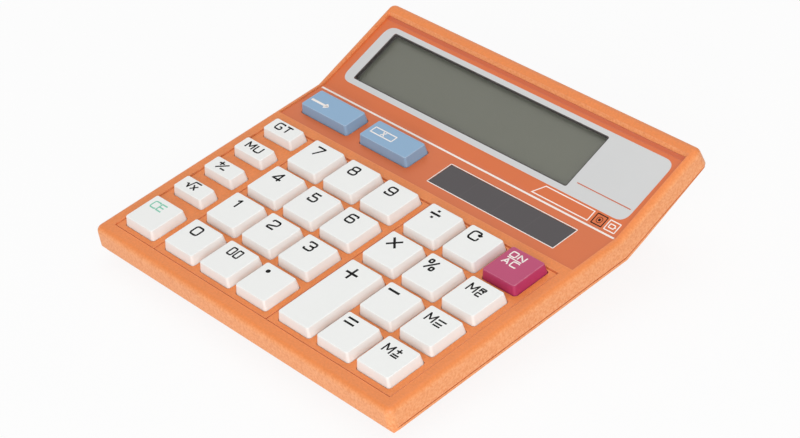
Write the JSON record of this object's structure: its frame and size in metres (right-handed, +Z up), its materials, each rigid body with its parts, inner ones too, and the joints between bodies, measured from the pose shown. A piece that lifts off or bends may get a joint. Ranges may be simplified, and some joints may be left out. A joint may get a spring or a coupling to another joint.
{
  "type": "desk calculator",
  "caption": "Wedge-shaped desk calculator with a sloping key deck, raised display, solar strip, pressable keys and a sliding battery door.",
  "frame": {"origin": "middle of the footprint at table level, under the feet", "axes": "+X to the right of someone using it, +Y away from them to the display, +Z up"},
  "size_m": [0.1356, 0.1288, 0.0368],
  "materials": {
    "case": "fine moulded grain",
    "panel": "gloss",
    "window": "clear gloss",
    "black_foam": "matt",
    "display": "satin",
    "black_plastic": "matt",
    "cable": "satin",
    "solar": "gloss",
    "wire": "satin",
    "switch_rubber": "matt",
    "board": "satin",
    "cell": "satin",
    "contact": "bright",
    "screw": "zinc plated",
    "foot_rubber": "matt",
    "white_key": "satin",
    "blue_key": "satin",
    "magenta_key": "gloss"
  },
  "bodies": {
    "case": {"top_case": "case", "bottom_case": "case", "display_panel": "panel", "display_window": "window", "lcd_gasket": "black_foam", "lcd_glass": "display", "lcd_holder": "black_plastic", "lcd_cable": "cable", "solar_cell": "solar", "solar_leads": "wire", "dome_mat": "switch_rubber", "main_board": "board", "chip_blob": "black_plastic", "battery_cell": "cell", "battery_contact_plus": "contact", "battery_contact_minus": "contact", "battery_leads": "wire", "case_screws": "screw", "board_screws": "screw", "rubber_feet": "foot_rubber"},
    "key_0": {"key_0": "white_key"},
    "key_1": {"key_1": "white_key"},
    "key_2": {"key_2": "white_key"},
    "key_3": {"key_3": "white_key"},
    "key_4": {"key_4": "white_key"},
    "key_5": {"key_5": "white_key"},
    "key_6": {"key_6": "white_key"},
    "key_7": {"key_7": "white_key"},
    "key_8": {"key_8": "white_key"},
    "key_9": {"key_9": "white_key"},
    "key_00": {"key_00": "white_key"},
    "key_dot": {"key_dot": "white_key"},
    "key_plus": {"key_plus": "white_key"},
    "key_minus": {"key_minus": "white_key"},
    "key_times": {"key_times": "white_key"},
    "key_divide": {"key_divide": "white_key"},
    "key_equals": {"key_equals": "white_key"},
    "key_percent": {"key_percent": "white_key"},
    "key_sqrt": {"key_sqrt": "white_key"},
    "key_sign": {"key_sign": "white_key"},
    "key_mu": {"key_mu": "white_key"},
    "key_gt": {"key_gt": "white_key"},
    "key_ce": {"key_ce": "white_key"},
    "key_m_plus": {"key_m_plus": "white_key"},
    "key_m_minus": {"key_m_minus": "white_key"},
    "key_m_recall": {"key_m_recall": "white_key"},
    "key_replay": {"key_replay": "white_key"},
    "key_check": {"key_check": "blue_key"},
    "key_correct": {"key_correct": "blue_key"},
    "key_on": {"key_on": "magenta_key"},
    "battery_door": {"battery_door": "case"}
  },
  "joints": [
    {"name": "key_0_press", "type": "slide", "parent": "case", "child": "key_0", "axis": [0, 0.1045, -0.9945], "range_m": [0, 0.0013], "stiffness_N_per_m": 600, "deforming": ["dome_mat"]},
    {"name": "key_1_press", "type": "slide", "parent": "case", "child": "key_1", "axis": [0, 0.1045, -0.9945], "range_m": [0, 0.0013], "stiffness_N_per_m": 600, "deforming": ["dome_mat"]},
    {"name": "key_2_press", "type": "slide", "parent": "case", "child": "key_2", "axis": [0, 0.1045, -0.9945], "range_m": [0, 0.0013], "stiffness_N_per_m": 600, "deforming": ["dome_mat"]},
    {"name": "key_3_press", "type": "slide", "parent": "case", "child": "key_3", "axis": [0, 0.1045, -0.9945], "range_m": [0, 0.0013], "stiffness_N_per_m": 600, "deforming": ["dome_mat"]},
    {"name": "key_4_press", "type": "slide", "parent": "case", "child": "key_4", "axis": [0, 0.1045, -0.9945], "range_m": [0, 0.0013], "stiffness_N_per_m": 600, "deforming": ["dome_mat"]},
    {"name": "key_5_press", "type": "slide", "parent": "case", "child": "key_5", "axis": [0, 0.1045, -0.9945], "range_m": [0, 0.0013], "stiffness_N_per_m": 600, "deforming": ["dome_mat"]},
    {"name": "key_6_press", "type": "slide", "parent": "case", "child": "key_6", "axis": [0, 0.1045, -0.9945], "range_m": [0, 0.0013], "stiffness_N_per_m": 600, "deforming": ["dome_mat"]},
    {"name": "key_7_press", "type": "slide", "parent": "case", "child": "key_7", "axis": [0, 0.1045, -0.9945], "range_m": [0, 0.0013], "stiffness_N_per_m": 600, "deforming": ["dome_mat"]},
    {"name": "key_8_press", "type": "slide", "parent": "case", "child": "key_8", "axis": [0, 0.1045, -0.9945], "range_m": [0, 0.0013], "stiffness_N_per_m": 600, "deforming": ["dome_mat"]},
    {"name": "key_9_press", "type": "slide", "parent": "case", "child": "key_9", "axis": [0, 0.1045, -0.9945], "range_m": [0, 0.0013], "stiffness_N_per_m": 600, "deforming": ["dome_mat"]},
    {"name": "key_00_press", "type": "slide", "parent": "case", "child": "key_00", "axis": [0, 0.1045, -0.9945], "range_m": [0, 0.0013], "stiffness_N_per_m": 600, "deforming": ["dome_mat"]},
    {"name": "key_dot_press", "type": "slide", "parent": "case", "child": "key_dot", "axis": [0, 0.1045, -0.9945], "range_m": [0, 0.0013], "stiffness_N_per_m": 600, "deforming": ["dome_mat"]},
    {"name": "key_plus_press", "type": "slide", "parent": "case", "child": "key_plus", "axis": [0, 0.1045, -0.9945], "range_m": [0, 0.0013], "stiffness_N_per_m": 600, "deforming": ["dome_mat"]},
    {"name": "key_minus_press", "type": "slide", "parent": "case", "child": "key_minus", "axis": [0, 0.1045, -0.9945], "range_m": [0, 0.0013], "stiffness_N_per_m": 600, "deforming": ["dome_mat"]},
    {"name": "key_times_press", "type": "slide", "parent": "case", "child": "key_times", "axis": [0, 0.1045, -0.9945], "range_m": [0, 0.0013], "stiffness_N_per_m": 600, "deforming": ["dome_mat"]},
    {"name": "key_divide_press", "type": "slide", "parent": "case", "child": "key_divide", "axis": [0, 0.1045, -0.9945], "range_m": [0, 0.0013], "stiffness_N_per_m": 600, "deforming": ["dome_mat"]},
    {"name": "key_equals_press", "type": "slide", "parent": "case", "child": "key_equals", "axis": [0, 0.1045, -0.9945], "range_m": [0, 0.0013], "stiffness_N_per_m": 600, "deforming": ["dome_mat"]},
    {"name": "key_percent_press", "type": "slide", "parent": "case", "child": "key_percent", "axis": [0, 0.1045, -0.9945], "range_m": [0, 0.0013], "stiffness_N_per_m": 600, "deforming": ["dome_mat"]},
    {"name": "key_sqrt_press", "type": "slide", "parent": "case", "child": "key_sqrt", "axis": [0, 0.1045, -0.9945], "range_m": [0, 0.0013], "stiffness_N_per_m": 600, "deforming": ["dome_mat"]},
    {"name": "key_sign_press", "type": "slide", "parent": "case", "child": "key_sign", "axis": [0, 0.1045, -0.9945], "range_m": [0, 0.0013], "stiffness_N_per_m": 600, "deforming": ["dome_mat"]},
    {"name": "key_mu_press", "type": "slide", "parent": "case", "child": "key_mu", "axis": [0, 0.1045, -0.9945], "range_m": [0, 0.0013], "stiffness_N_per_m": 600, "deforming": ["dome_mat"]},
    {"name": "key_gt_press", "type": "slide", "parent": "case", "child": "key_gt", "axis": [0, 0.1045, -0.9945], "range_m": [0, 0.0013], "stiffness_N_per_m": 600, "deforming": ["dome_mat"]},
    {"name": "key_ce_press", "type": "slide", "parent": "case", "child": "key_ce", "axis": [0, 0.1045, -0.9945], "range_m": [0, 0.0013], "stiffness_N_per_m": 600, "deforming": ["dome_mat"]},
    {"name": "key_m_plus_press", "type": "slide", "parent": "case", "child": "key_m_plus", "axis": [0, 0.1045, -0.9945], "range_m": [0, 0.0013], "stiffness_N_per_m": 600, "deforming": ["dome_mat"]},
    {"name": "key_m_minus_press", "type": "slide", "parent": "case", "child": "key_m_minus", "axis": [0, 0.1045, -0.9945], "range_m": [0, 0.0013], "stiffness_N_per_m": 600, "deforming": ["dome_mat"]},
    {"name": "key_m_recall_press", "type": "slide", "parent": "case", "child": "key_m_recall", "axis": [0, 0.1045, -0.9945], "range_m": [0, 0.0013], "stiffness_N_per_m": 600, "deforming": ["dome_mat"]},
    {"name": "key_replay_press", "type": "slide", "parent": "case", "child": "key_replay", "axis": [0, 0.1045, -0.9945], "range_m": [0, 0.0013], "stiffness_N_per_m": 600, "deforming": ["dome_mat"]},
    {"name": "key_check_press", "type": "slide", "parent": "case", "child": "key_check", "axis": [0, 0.1045, -0.9945], "range_m": [0, 0.0013], "stiffness_N_per_m": 600, "deforming": ["dome_mat"]},
    {"name": "key_correct_press", "type": "slide", "parent": "case", "child": "key_correct", "axis": [0, 0.1045, -0.9945], "range_m": [0, 0.0013], "stiffness_N_per_m": 600, "deforming": ["dome_mat"]},
    {"name": "key_on_press", "type": "slide", "parent": "case", "child": "key_on", "axis": [0, 0.1045, -0.9945], "range_m": [0, 0.0013], "stiffness_N_per_m": 600, "deforming": ["dome_mat"]},
    {"name": "battery_door_slide", "type": "slide", "parent": "case", "child": "battery_door", "axis": [0, 1, 0], "range_m": [0, 0.016]}
  ]
}
